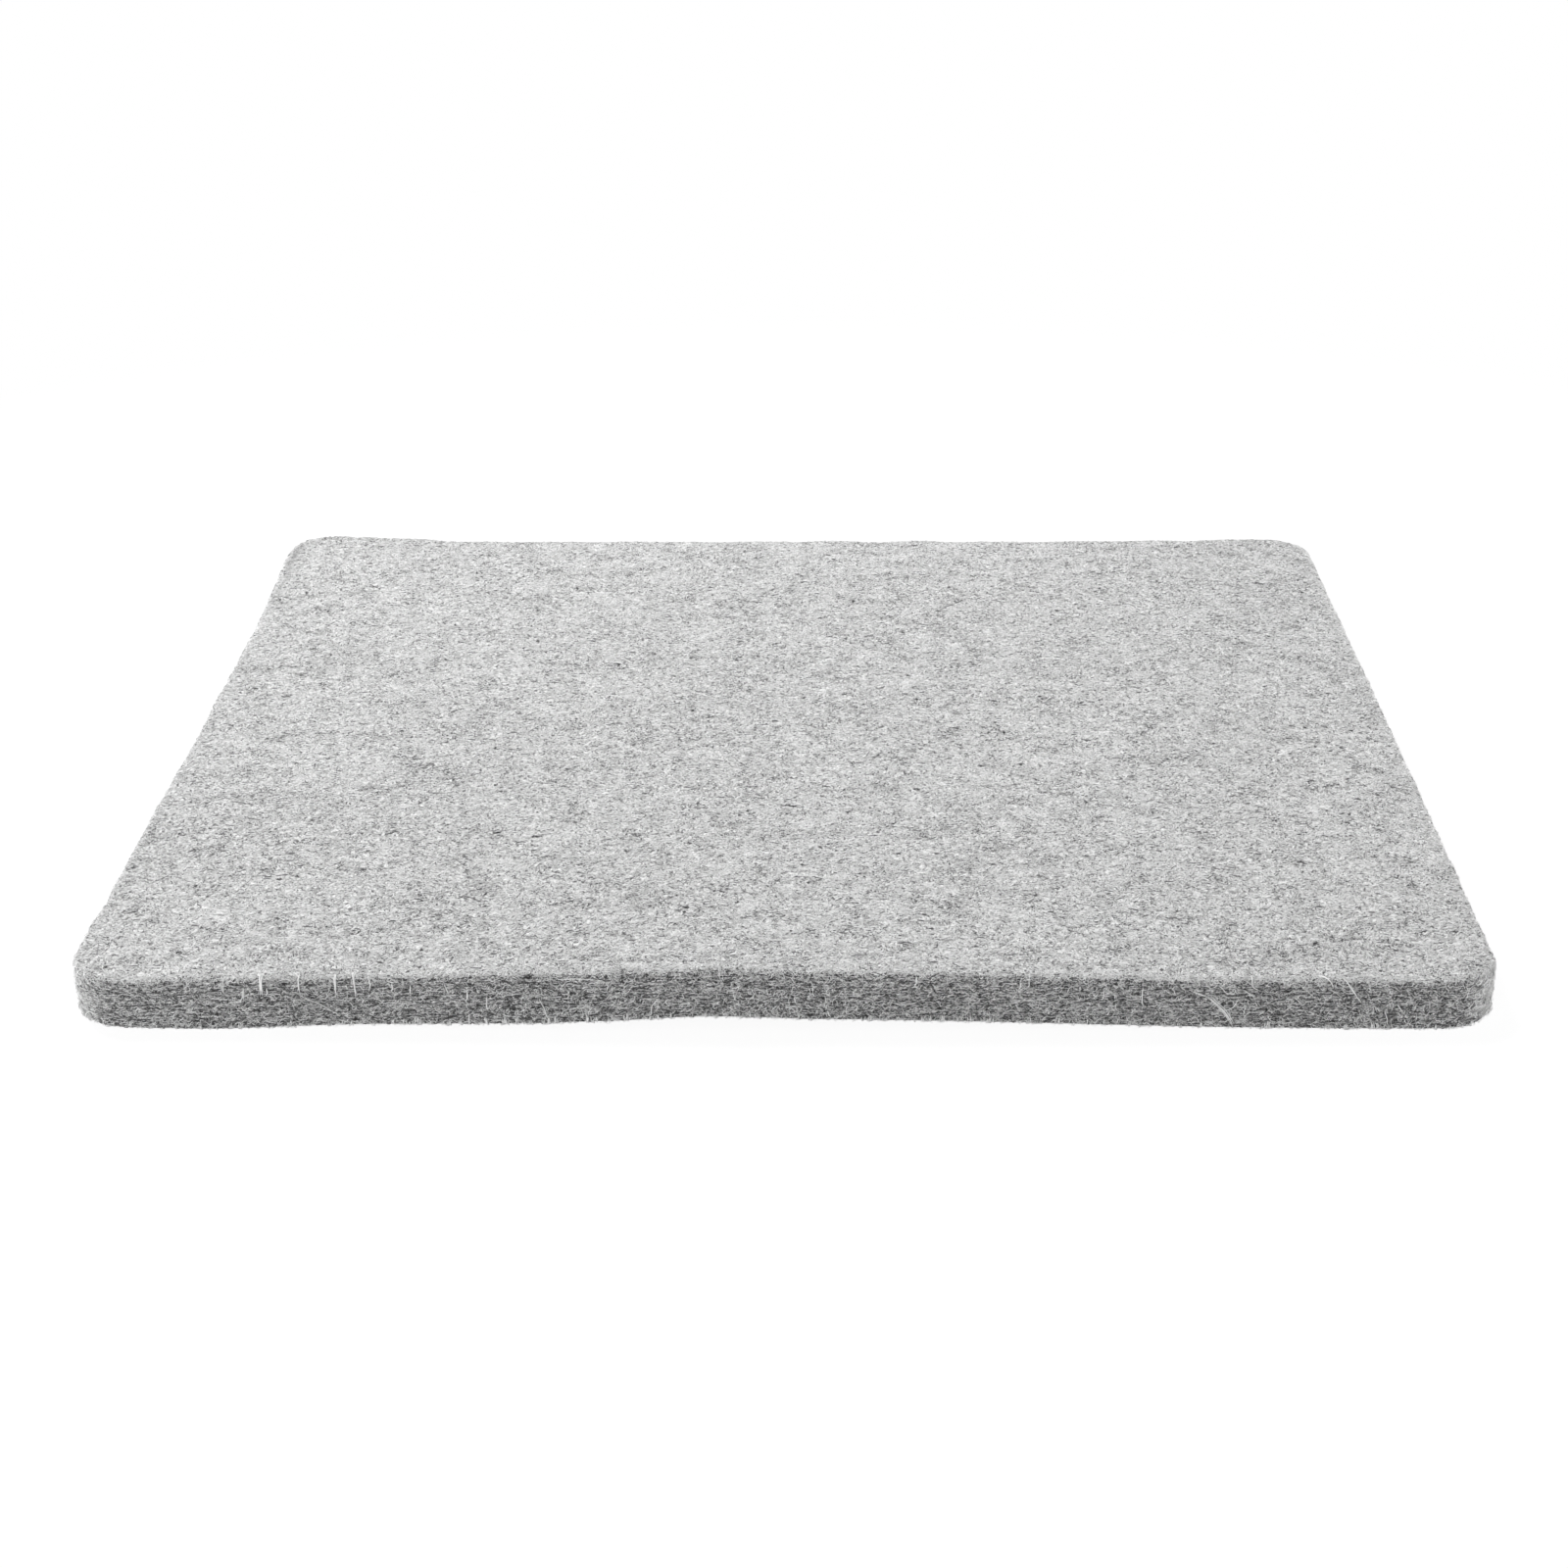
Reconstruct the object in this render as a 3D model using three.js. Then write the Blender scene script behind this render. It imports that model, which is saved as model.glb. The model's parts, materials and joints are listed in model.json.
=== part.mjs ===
// A felt pressing pad: one square slab of thick needled wool felt, cut out with round corners.
// It lies on a table with its underside at z = 0. Thick felt seldom lies dead flat: the middle
// of the front edge and the two rear corners have risen a little off the table, and the slab
// keeps its thickness there. Lengths are in millimetres. +X points right along the front edge,
// +Y points from the front edge to the back, and +Z points up.

import * as THREE from 'three';

// The slab as it is cut.
const padWidth = 343; // 13.5 inches, along X
const padDepth = 343; // 13.5 inches, along Y
const padThickness = 13; // half-inch felt with its nap, along Z
const cornerRadius = 14.5; // round corners, seen from above
const arrisRadius = 1.2; // the soft rounding where a cut side meets a face

// The broad rise in the middle of the front edge.
const frontRiseHeight = 2.1;
const frontRiseOffset = -2; // from the middle of the pad to the middle of the rise, along X
const frontRiseHalfWidth = 141;
const frontRiseReach = 130; // how far back from the front edge it dies away

// The narrow kink on top of that rise.
const kinkHeight = 0.65;
const kinkOffset = -16;
const kinkHalfWidth = 26;
const kinkReach = 60;

// The rear corners.
const rearLeftRiseHeight = 1.4;
const rearRightRiseHeight = 0.4;
const rearRiseReach = 70; // from the corner, along the table

// How finely the surface is divided.
const cornerSteps = 3; // across a corner round, so its arc has twice as many
const widthSteps = 16; // between the corner rounds, along X
const depthSteps = 10; // between the corner rounds, along Y
const arrisSteps = 2; // round an arris

const columns = widthSteps + 2 * cornerSteps;
const rows = depthSteps + 2 * cornerSteps;
const layers = 2 * arrisSteps + 1;

// A smooth hump: 1 at its middle, where share is 0, and 0 at its rim, where share is 1, and past it.
function hump(share) {
  const clamped = Math.min(Math.abs(share), 1);
  return (1 + Math.cos(Math.PI * clamped)) / 2;
}

// How far the felt stands off the table at a point of its outline or its faces.
function riseAt(x, y) {
  const fromFront = y + padDepth / 2;
  const fromBack = padDepth / 2 - y;
  const fromLeft = x + padWidth / 2;
  const fromRight = padWidth / 2 - x;
  const broadShare = hump((x - frontRiseOffset) / frontRiseHalfWidth) * hump(fromFront / frontRiseReach);
  const kinkShare = hump((x - kinkOffset) / kinkHalfWidth) * hump(fromFront / kinkReach);
  const rearLeftShare = hump(Math.hypot(fromLeft, fromBack) / rearRiseReach);
  const rearRightShare = hump(Math.hypot(fromRight, fromBack) / rearRiseReach);
  return frontRiseHeight * broadShare
    + kinkHeight * kinkShare
    + rearLeftRiseHeight * rearLeftShare
    + rearRightRiseHeight * rearRightShare;
}

// Where a line of the surface grid lies, from the middle of the pad: the first and last few lines
// share out the corner rounds, and the others share out the straight stretch between them.
function linePlace(line, lines, halfSide, radius) {
  const fromEnd = Math.min(line, lines - line);
  const straight = halfSide - radius;
  const place = fromEnd < cornerSteps
    ? halfSide - radius * fromEnd / cornerSteps
    : straight * (lines - 2 * fromEnd) / (lines - 2 * cornerSteps);
  return line < lines / 2 ? -place : place;
}

// Draws the square corner of the grid in to a quarter disc, so that the outline is round there.
function roundedCorner(x, y, straightX, straightY) {
  const pastX = Math.abs(x) - straightX;
  const pastY = Math.abs(y) - straightY;
  if (pastX <= 0 || pastY <= 0) {
    return [x, y];
  }
  const reach = Math.max(pastX, pastY);
  const quarterShare = pastX >= pastY ? pastY / pastX / 2 : 1 - pastX / pastY / 2;
  const angle = quarterShare * Math.PI / 2;
  return [
    Math.sign(x) * (straightX + reach * Math.cos(angle)),
    Math.sign(y) * (straightY + reach * Math.sin(angle)),
  ];
}

// The place of one point of the slab's surface, by its column, row and layer in the grid.
function slabPoint(column, row, layer) {
  const fromFace = Math.min(layer, layers - layer, arrisSteps);
  const turn = (fromFace / arrisSteps) * Math.PI / 2;
  const inset = arrisRadius * (1 - Math.sin(turn));
  const fromSurface = arrisRadius * (1 - Math.cos(turn));
  const halfWidth = padWidth / 2 - inset;
  const halfDepth = padDepth / 2 - inset;
  const radius = cornerRadius - inset;
  const [x, y] = roundedCorner(
    linePlace(column, columns, halfWidth, radius),
    linePlace(row, rows, halfDepth, radius),
    halfWidth - radius,
    halfDepth - radius,
  );
  const level = layer < layers / 2 ? fromSurface : padThickness - fromSurface;
  return [x, y, level + riseAt(x, y)];
}

// The slab starts as a unit box with a grid on its six sides, and each grid point moves to its place.
function slabGeometry() {
  const geometry = new THREE.BoxGeometry(1, 1, 1, columns, rows, layers);
  const position = geometry.getAttribute('position');
  for (let index = 0; index < position.count; index += 1) {
    const column = Math.round((position.getX(index) + 1 / 2) * columns);
    const row = Math.round((position.getY(index) + 1 / 2) * rows);
    const layer = Math.round((position.getZ(index) + 1 / 2) * layers);
    position.setXYZ(index, ...slabPoint(column, row, layer));
  }
  geometry.computeVertexNormals();
  return geometry;
}

const greyHeatherFelt = new THREE.MeshStandardMaterial({
  name: 'grey_heather_felt',
  color: 0xc8c8c8,
  roughness: 0.95,
  metalness: 0,
});

const feltPad = new THREE.Mesh(slabGeometry(), greyHeatherFelt);
feltPad.name = 'felt_pad';

const pressingPad = new THREE.Group();
pressingPad.add(feltPad);

export default pressingPad;
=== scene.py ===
"""Looks of a grey heather felt pressing pad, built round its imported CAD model.

The CAD model is one soft slab. Here a finer slab of the same form replaces it, with the small
unevenness of felt, and loose wool fibres lie on its faces, its cut sides and its edges.
Lengths are in millimetres until a mesh is made, and the axes are the CAD model's.
"""

import json
import logging
import math
from collections.abc import Iterator
from dataclasses import dataclass, replace
from enum import Enum

import bpy
import numpy as np
from mathutils import Matrix, Vector


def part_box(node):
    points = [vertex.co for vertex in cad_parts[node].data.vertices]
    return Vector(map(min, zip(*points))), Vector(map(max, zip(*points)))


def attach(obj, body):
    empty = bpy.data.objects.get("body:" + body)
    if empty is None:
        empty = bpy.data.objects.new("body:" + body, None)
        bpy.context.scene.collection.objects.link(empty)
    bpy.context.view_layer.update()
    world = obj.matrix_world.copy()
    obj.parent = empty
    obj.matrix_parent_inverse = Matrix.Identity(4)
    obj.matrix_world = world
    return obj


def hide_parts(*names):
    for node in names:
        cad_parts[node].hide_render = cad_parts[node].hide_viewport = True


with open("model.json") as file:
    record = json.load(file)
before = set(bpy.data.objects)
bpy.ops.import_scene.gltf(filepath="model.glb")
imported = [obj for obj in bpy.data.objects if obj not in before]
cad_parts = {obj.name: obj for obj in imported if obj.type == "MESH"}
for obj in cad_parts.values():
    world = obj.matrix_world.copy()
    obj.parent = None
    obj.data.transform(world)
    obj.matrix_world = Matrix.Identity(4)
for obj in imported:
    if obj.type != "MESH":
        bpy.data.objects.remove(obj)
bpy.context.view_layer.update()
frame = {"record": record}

MM = 0.001
ROOT_BODY = "root"
PAD_NODE = "felt_pad"
BAKE_MAP = "OFBake"
TONE = "tone"
SIDES = 4
TINY = 1e-9
CANDIDATES = 3
TUBE_SIDES = 3
TUBE_END = 0.6
TUBE_MARGIN = 0.1

Outputs = bpy.types.NodeOutputs
Laid = tuple[np.ndarray, np.ndarray]
Range = tuple[float, float]

log = logging.getLogger("felt_pad")


def hump(share: np.ndarray) -> np.ndarray:
    """Give 1 where the share is 0, falling smoothly to 0 where it is 1 or more."""
    return (1 + np.cos(np.pi * np.minimum(np.abs(share), 1))) / 2


def unit(vectors: np.ndarray) -> np.ndarray:
    """Scale vectors, whose coordinates are on the last axis, to length 1."""
    return vectors / np.maximum(np.linalg.norm(vectors, axis=-1, keepdims=True), TINY)


@dataclass(frozen=True)
class Ripple:
    """Seeded smooth unevenness, the sum of plane waves that run in all directions."""

    seed: int
    shortest: float
    longest: float
    height: float
    waves: int = 40

    def at(self, points: np.ndarray) -> np.ndarray:
        """Read the unevenness.

        Args:
            points: Places, with x, y and z on the last axis.

        Returns:
            The height at each place, whose spread is the ripple's height.
        """
        rng = np.random.default_rng(self.seed)
        directions = unit(rng.normal(size=(self.waves, 3)))
        lengths = np.exp(rng.uniform(math.log(self.shortest), math.log(self.longest), self.waves))
        phases = rng.uniform(0, 2 * np.pi, self.waves)
        turns = points @ (directions * (2 * np.pi / lengths)[:, None]).T + phases
        return self.height * math.sqrt(2 / self.waves) * np.cos(turns).sum(axis=-1)


@dataclass(frozen=True)
class FrontHump:
    """A smooth change of height along a stretch of the front edge."""

    height: float
    x: float
    half_width: float
    reach: float

    def at(self, x: np.ndarray, y: np.ndarray) -> np.ndarray:
        """Give its height at places across the pad and behind the front edge."""
        return self.height * hump((x - self.x) / self.half_width) * hump(y / self.reach)


@dataclass(frozen=True)
class Swell:
    """A stretch of the cut side that stands out, or in, from a straight cut."""

    x: float
    y: float
    reach: float
    height: float
    at_top: float = 1.0
    at_foot: float = 1.0


@dataclass(frozen=True)
class PadForm:
    """The form of the slab: the same sizes as the CAD model's, and the small unevenness of felt."""

    width: float
    depth: float
    thickness: float
    corner_radius: float = 14.5
    arris_radius: float = 1.2
    front_rise: FrontHump = FrontHump(height=2.1, x=-2.0, half_width=141.0, reach=130.0)
    front_kink: FrontHump = FrontHump(height=0.65, x=-16.0, half_width=26.0, reach=60.0)
    worn_corner: FrontHump = FrontHump(height=0.7, x=-160.0, half_width=28.0, reach=12.0)
    rear_left_rise: float = 1.4
    rear_right_rise: float = 0.4
    rear_rise_reach: float = 70.0
    # How far round the front corners the cut side gets painted light.
    corner_light_reach: Range = (9.0, 30.0)
    corner_light_fade: Range = (7.0, 12.0)
    underside_nap: float = 0.15
    swells: tuple[Swell, ...] = (
        Swell(-171.5, -28.0, 45.0, -0.4),
        Swell(-171.5, -139.0, 16.0, 0.5),
        Swell(-171.5, 150.0, 80.0, 1.9),
        Swell(171.5, 0.0, 300.0, 0.5),
        Swell(-168.0, -168.0, 34.0, 0.8, at_foot=0.35),
        Swell(-138.0, -171.5, 36.0, 1.3, at_top=0.0),
        Swell(-60.0, -171.5, 40.0, 0.9, at_top=0.0),
    )
    lumps: Ripple = Ripple(seed=3, shortest=14.0, longest=45.0, height=0.066)
    pimples: Ripple = Ripple(seed=4, shortest=4.0, longest=8.0, height=0.03, waves=60)

    @property
    def front_half(self) -> float:
        """Half the straight front edge. Its left end is where the walk round the outline starts."""
        return self.width / 2 - self.corner_radius

    @property
    def perimeter(self) -> float:
        """The length round the outline."""
        straights = 2 * (self.width + self.depth - 4 * self.corner_radius)
        return straights + 2 * math.pi * self.corner_radius

    def rise(self, x: np.ndarray, y: np.ndarray) -> np.ndarray:
        """Say how far the felt stands off the table.

        Args:
            x: Places across the pad.
            y: Places from the front to the back.

        Returns:
            The rise at each place.
        """
        from_front, from_back = y + self.depth / 2, self.depth / 2 - y
        rear_left = hump(np.hypot(x + self.width / 2, from_back) / self.rear_rise_reach)
        rear_right = hump(np.hypot(self.width / 2 - x, from_back) / self.rear_rise_reach)
        front = self.front_rise.at(x, from_front) + self.front_kink.at(x, from_front)
        return front + self.rear_left_rise * rear_left + self.rear_right_rise * rear_right

    def outline(self, run: np.ndarray) -> Laid:
        """Walk round the outline, anticlockwise seen from above.

        Args:
            run: Distances along the outline from the left end of the straight front edge.

        Returns:
            The places (x, y) and the outward directions (x, y).
        """
        radius = self.corner_radius
        straights = (self.width - 2 * radius, self.depth - 2 * radius)
        arc = math.pi * radius / 2
        left = np.mod(run, self.perimeter)
        place = np.zeros((*np.shape(run), 2))
        outward = np.zeros_like(place)
        for side in range(SIDES):
            half, half_across = straights[side % 2] / 2, straights[(side + 1) % 2] / 2
            cos, sin = math.cos(side * math.pi / 2), math.sin(side * math.pi / 2)
            along, out = np.array([cos, sin]), np.array([sin, -cos])
            here = (left >= 0) & (left < 2 * half)
            place[here] = along * (left[here, None] - half) + out * (half_across + radius)
            outward[here] = out
            left = left - 2 * half
            here = (left >= 0) & (left < arc)
            turn = left[here, None] / radius
            outward[here] = out * np.cos(turn) + along * np.sin(turn)
            place[here] = along * half + out * half_across + outward[here] * radius
            left = left - arc
        return place, outward

    def strides(self, rng: np.random.Generator, spacing: float) -> Iterator[float]:
        """Walk round the outline in random strides.

        Args:
            rng: The random numbers.
            spacing: The mean stride.

        Returns:
            The distances along the outline, of which the last lies past its end.
        """
        run = 0.0
        while run < self.perimeter:
            run += spacing * rng.exponential()
            yield run

    def inside_by(self, places: np.ndarray) -> Laid:
        """Measure how far places lie inside the outline.

        Args:
            places: Places (x, y), which may also lie outside.

        Returns:
            The distances, negative outside, and the outward directions (x, y).
        """
        halves = np.array([self.width, self.depth]) / 2 - self.corner_radius
        past = np.abs(places) - halves
        over = np.maximum(past, 0)
        gone = np.linalg.norm(over, axis=-1) + np.minimum(past.max(axis=-1), 0)
        nearest = np.where(past == past.max(axis=-1, keepdims=True), 1.0, 0.0)
        steer = np.where((past.max(axis=-1) > 0)[..., None], over, nearest)
        return self.corner_radius - gone, unit(steer) * np.sign(places)

    def cornering(self, places: np.ndarray) -> np.ndarray:
        """Say how far places on the cut side belong to the front corners, where painted light makes
        the wall paler.

        Args:
            places: Places (x, y).

        Returns:
            0 along the straight sides, rising to 1 round a front corner.
        """
        corner = np.array([self.width, self.depth]) / 2
        outward = np.stack([np.abs(places[..., 0]), -places[..., 1]], axis=-1)
        past = outward - corner + self.corner_light_reach
        return np.clip(past / self.corner_light_fade, 0, 1).prod(axis=-1)

    def unevenness(self, base: np.ndarray, outward: np.ndarray) -> np.ndarray:
        """Give the small unevenness of the felt.

        Args:
            base: Places on the smooth slab.
            outward: The outward directions there.

        Returns:
            How far the felt stands out from the smooth slab.
        """
        x, y, level = np.moveaxis(base, -1, 0)
        level = level / self.thickness
        facing_aside = np.hypot(outward[..., 0], outward[..., 1])
        swelling = np.zeros(base.shape[:-1])
        for swell in self.swells:
            away = np.hypot(x - swell.x, y - swell.y)
            kept = swell.at_foot + (swell.at_top - swell.at_foot) * level
            swelling += swell.height * hump(away / swell.reach) * kept
        facing_up = np.clip(outward[..., 2], 0, 1)
        facing_down = np.clip(-outward[..., 2], 0, 1)
        small = self.lumps.at(base) * (1 + facing_up) + self.pimples.at(base)
        lain = self.underside_nap * facing_down
        return small * (1 - facing_down) + facing_aside * swelling - lain

    def raised(self, base: np.ndarray, outward: np.ndarray, lift: np.ndarray) -> np.ndarray:
        """Put places on or over the uneven skin of the slab.

        Args:
            base: Places on the smooth flat slab.
            outward: The outward directions there.
            lift: How far each place stands off the skin.

        Returns:
            The places in the model's frame.
        """
        x, y, level = np.moveaxis(base, -1, 0)
        placed = base.copy()
        placed[..., 2] += self.rise(x, y)
        placed[..., 2] -= self.worn_corner.at(x, y + self.depth / 2) * level / self.thickness
        return placed + outward * (lift + self.unevenness(base, outward))[..., None]

    def over_face(self, plan: np.ndarray, lift: np.ndarray, upper: bool = True) -> Laid:
        """Lay places on a face of the slab, and over its edge where they pass the outline.

        Args:
            plan: Places (x, y), measured along the skin where they pass the arris.
            lift: How far each place stands off the skin.
            upper: Whether the face is the upper one.

        Returns:
            The places and the outward directions there.
        """
        radius = self.arris_radius
        inside, steer = self.inside_by(plan)
        past = np.maximum(radius - inside, 0)
        angle = np.minimum(past / radius, math.pi / 2)
        inset = radius * (1 - np.sin(angle))
        drop = radius * (1 - np.cos(angle)) + np.maximum(past - radius * math.pi / 2, 0)
        drop = np.minimum(drop, self.thickness)
        shift = np.where(past > 0, inside - inset, 0)
        level, sign = (self.thickness - drop, 1.0) if upper else (drop, -1.0)
        base = np.concatenate([plan + steer * shift[..., None], level[..., None]], axis=-1)
        lean, stand = np.sin(angle)[..., None], sign * np.cos(angle)[..., None]
        outward = np.concatenate([steer * lean, stand], axis=-1)
        return self.raised(base, outward, lift), outward

    def on_side(self, run: np.ndarray, level: np.ndarray, lift: np.ndarray) -> Laid:
        """Lay places on the cut side, and over its arrises where they pass them.

        Args:
            run: Distances along the outline.
            level: Heights above the underside, measured along the skin past an arris.
            lift: How far each place stands off the skin.

        Returns:
            The places and the outward directions there.
        """
        radius = self.arris_radius
        place, steer = self.outline(run)
        over_top = level - (self.thickness - radius)
        past = np.maximum(np.maximum(over_top, radius - level), 0)
        sign = np.where(over_top > 0, 1.0, -1.0)
        angle = np.minimum(past / radius, math.pi / 2)
        inset = radius * (1 - np.cos(angle)) + np.maximum(past - radius * math.pi / 2, 0)
        height = np.clip(level, radius, self.thickness - radius) + sign * radius * np.sin(angle)
        base = np.concatenate([place - steer * inset[..., None], height[..., None]], axis=-1)
        lean, stand = np.cos(angle)[..., None], (sign * np.sin(angle))[..., None]
        outward = np.concatenate([steer * lean, stand], axis=-1)
        return self.raised(base, outward, lift), outward


def mesh_object(
    name: str,
    points: np.ndarray,
    polygons: list[np.ndarray],
    maps: list[np.ndarray],
    tones: np.ndarray,
) -> bpy.types.Object:
    """Make an object from arrays.

    Args:
        name: The piece's name.
        points: Its points, in millimetres.
        polygons: Arrays of faces, each with one row of point numbers for each face.
        maps: The faces' corners on the bake map, in the same order.
        tones: A number from 0 to 1 for each point, which its material reads.

    Returns:
        The new object, linked to the scene.
    """
    mesh = bpy.data.meshes.new(name)
    corners = np.concatenate([rows.ravel() for rows in polygons]).astype(np.int32)
    counts = np.concatenate([np.full(len(rows), rows.shape[1]) for rows in polygons])
    starts = np.concatenate([[0], np.cumsum(counts)[:-1]]).astype(np.int32)
    mesh.vertices.add(len(points))
    mesh.loops.add(len(corners))
    mesh.polygons.add(len(counts))
    mesh.vertices.foreach_set("co", (points * MM).astype(np.float32).ravel())
    mesh.loops.foreach_set("vertex_index", corners)
    mesh.polygons.foreach_set("loop_start", starts)
    mesh.polygons.foreach_set("use_smooth", np.ones(len(counts), bool))
    mesh.update(calc_edges=True)
    layer = mesh.uv_layers.new(name=BAKE_MAP)
    flat = np.concatenate([rows.reshape(-1, 2) for rows in maps])
    layer.data.foreach_set("uv", flat.astype(np.float32).ravel())
    attribute = mesh.attributes.new(TONE, "FLOAT", "POINT")
    attribute.data.foreach_set("value", tones.astype(np.float32))
    piece = bpy.data.objects.new(name, mesh)
    bpy.context.scene.collection.objects.link(piece)
    return piece


class Wiring:
    """Short calls that add and join the nodes of one tree."""

    noise_stretch: float = 4.0

    def __init__(self, tree: bpy.types.NodeTree) -> None:
        """Start with a tree."""
        self.tree = tree

    def feed(self, node: bpy.types.Node, inputs: dict) -> None:
        """Set some of a node's inputs.

        Args:
            node: The node.
            inputs: Its inputs by name or number, each a value or the socket that feeds it.
        """
        for key, value in inputs.items():
            if isinstance(value, bpy.types.NodeSocket):
                self.tree.links.new(value, node.inputs[key])
            else:
                node.inputs[key].default_value = value

    def add(self, kind: str, inputs: dict | None = None, **settings: object) -> bpy.types.Node:
        """Add a node.

        Args:
            kind: The node's type name.
            inputs: Its inputs by name or number, each a value or the socket that feeds it.
            **settings: The node's own properties.

        Returns:
            The new node.
        """
        node = self.tree.nodes.new(kind)
        for key, value in settings.items():
            setattr(node, key, value)
        self.feed(node, inputs or {})
        return node

    def group(self, tree: bpy.types.NodeTree, inputs: dict) -> Outputs:
        """Place a node group with some of its inputs set, and give its outputs."""
        return self.add("ShaderNodeGroup", inputs, node_tree=tree).outputs

    def math(self, operation: str, *values: object) -> bpy.types.NodeSocket:
        """Add a Math node and give its result."""
        inputs = dict(enumerate(values))
        return self.add("ShaderNodeMath", inputs, operation=operation).outputs[0]

    def vector(self, operation: str, *values: object) -> bpy.types.NodeSocket:
        """Add a Vector Math node and give its result."""
        inputs = dict(enumerate(values))
        return self.add("ShaderNodeVectorMath", inputs, operation=operation).outputs[0]

    def joined(self, *values: object) -> bpy.types.NodeSocket:
        """Join numbers into a vector."""
        return self.add("ShaderNodeCombineXYZ", dict(enumerate(values))).outputs[0]

    def mix(self, share: object, first: object, second: object) -> bpy.types.NodeSocket:
        """Mix two numbers: the first where the share is 0, and the second where it is 1."""
        inputs = {0: share, 2: first, 3: second}
        return self.add("ShaderNodeMix", inputs, data_type="FLOAT").outputs[0]

    def spread(
        self, value: bpy.types.NodeSocket, ends: tuple[float, float], to: tuple[float, float]
    ) -> bpy.types.NodeSocket:
        """Map a value smoothly from one range to another, and keep it inside that one."""
        inputs = dict(enumerate((value, *ends, *to)))
        return self.add("ShaderNodeMapRange", inputs, interpolation_type="SMOOTHSTEP").outputs[0]

    def noise(
        self, vector: bpy.types.NodeSocket, scale: object, detail: float, roughness: float = 0.5
    ) -> Outputs:
        """Add noise and give its outputs, a number and a colour."""
        inputs = {"Vector": vector, "Scale": scale, "Detail": detail, "Roughness": roughness}
        return self.add("ShaderNodeTexNoise", inputs, noise_dimensions="3D").outputs

    def centred(self, value: bpy.types.NodeSocket) -> bpy.types.NodeSocket:
        """Stretch noise so that it lies about 0, and mostly between -1 and 1."""
        return self.math("MULTIPLY", self.math("SUBTRACT", value, 0.5), self.noise_stretch)

    def place(self) -> bpy.types.NodeSocket:
        """Give the place on the object, in millimetres."""
        place = self.add("ShaderNodeTexCoord").outputs["Object"]
        return self.vector("MULTIPLY", place, (1 / MM, 1 / MM, 1 / MM))

    def tone(self) -> bpy.types.NodeSocket:
        """Give the number from 0 to 1 that each point of the mesh carries."""
        return self.add("ShaderNodeAttribute", attribute_name=TONE).outputs["Fac"]


def grey(level: float) -> tuple[float, float, float, float]:
    """Give the colour of a neutral grey."""
    return (level, level, level, 1.0)


def new_material(name: str) -> tuple[bpy.types.Material, Wiring, bpy.types.Node]:
    """Start a material.

    Args:
        name: Its name.

    Returns:
        The material, its wiring and its shader.
    """
    material = bpy.data.materials.new(name)
    material.use_nodes = True
    return material, Wiring(material.node_tree), material.node_tree.nodes["Principled BSDF"]


def new_group(
    name: str, inputs: dict[str, float | None], outputs: list[str]
) -> tuple[Wiring, Outputs, bpy.types.Node]:
    """Start a shader node group.

    Args:
        name: The group's name.
        inputs: Each input's default value. None makes it a vector.
        outputs: The names of the outputs, which are numbers.

    Returns:
        The group's wiring, what its input node gives, and its output node.
    """
    tree = bpy.data.node_groups.new(name, "ShaderNodeTree")
    for key, value in inputs.items():
        kind = "NodeSocketVector" if value is None else "NodeSocketFloat"
        socket = tree.interface.new_socket(name=key, in_out="INPUT", socket_type=kind)
        if value is not None:
            socket.default_value = value
    for key in outputs:
        tree.interface.new_socket(name=key, in_out="OUTPUT", socket_type="NodeSocketFloat")
    wiring = Wiring(tree)
    return wiring, wiring.add("NodeGroupInput").outputs, wiring.add("NodeGroupOutput")


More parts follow.
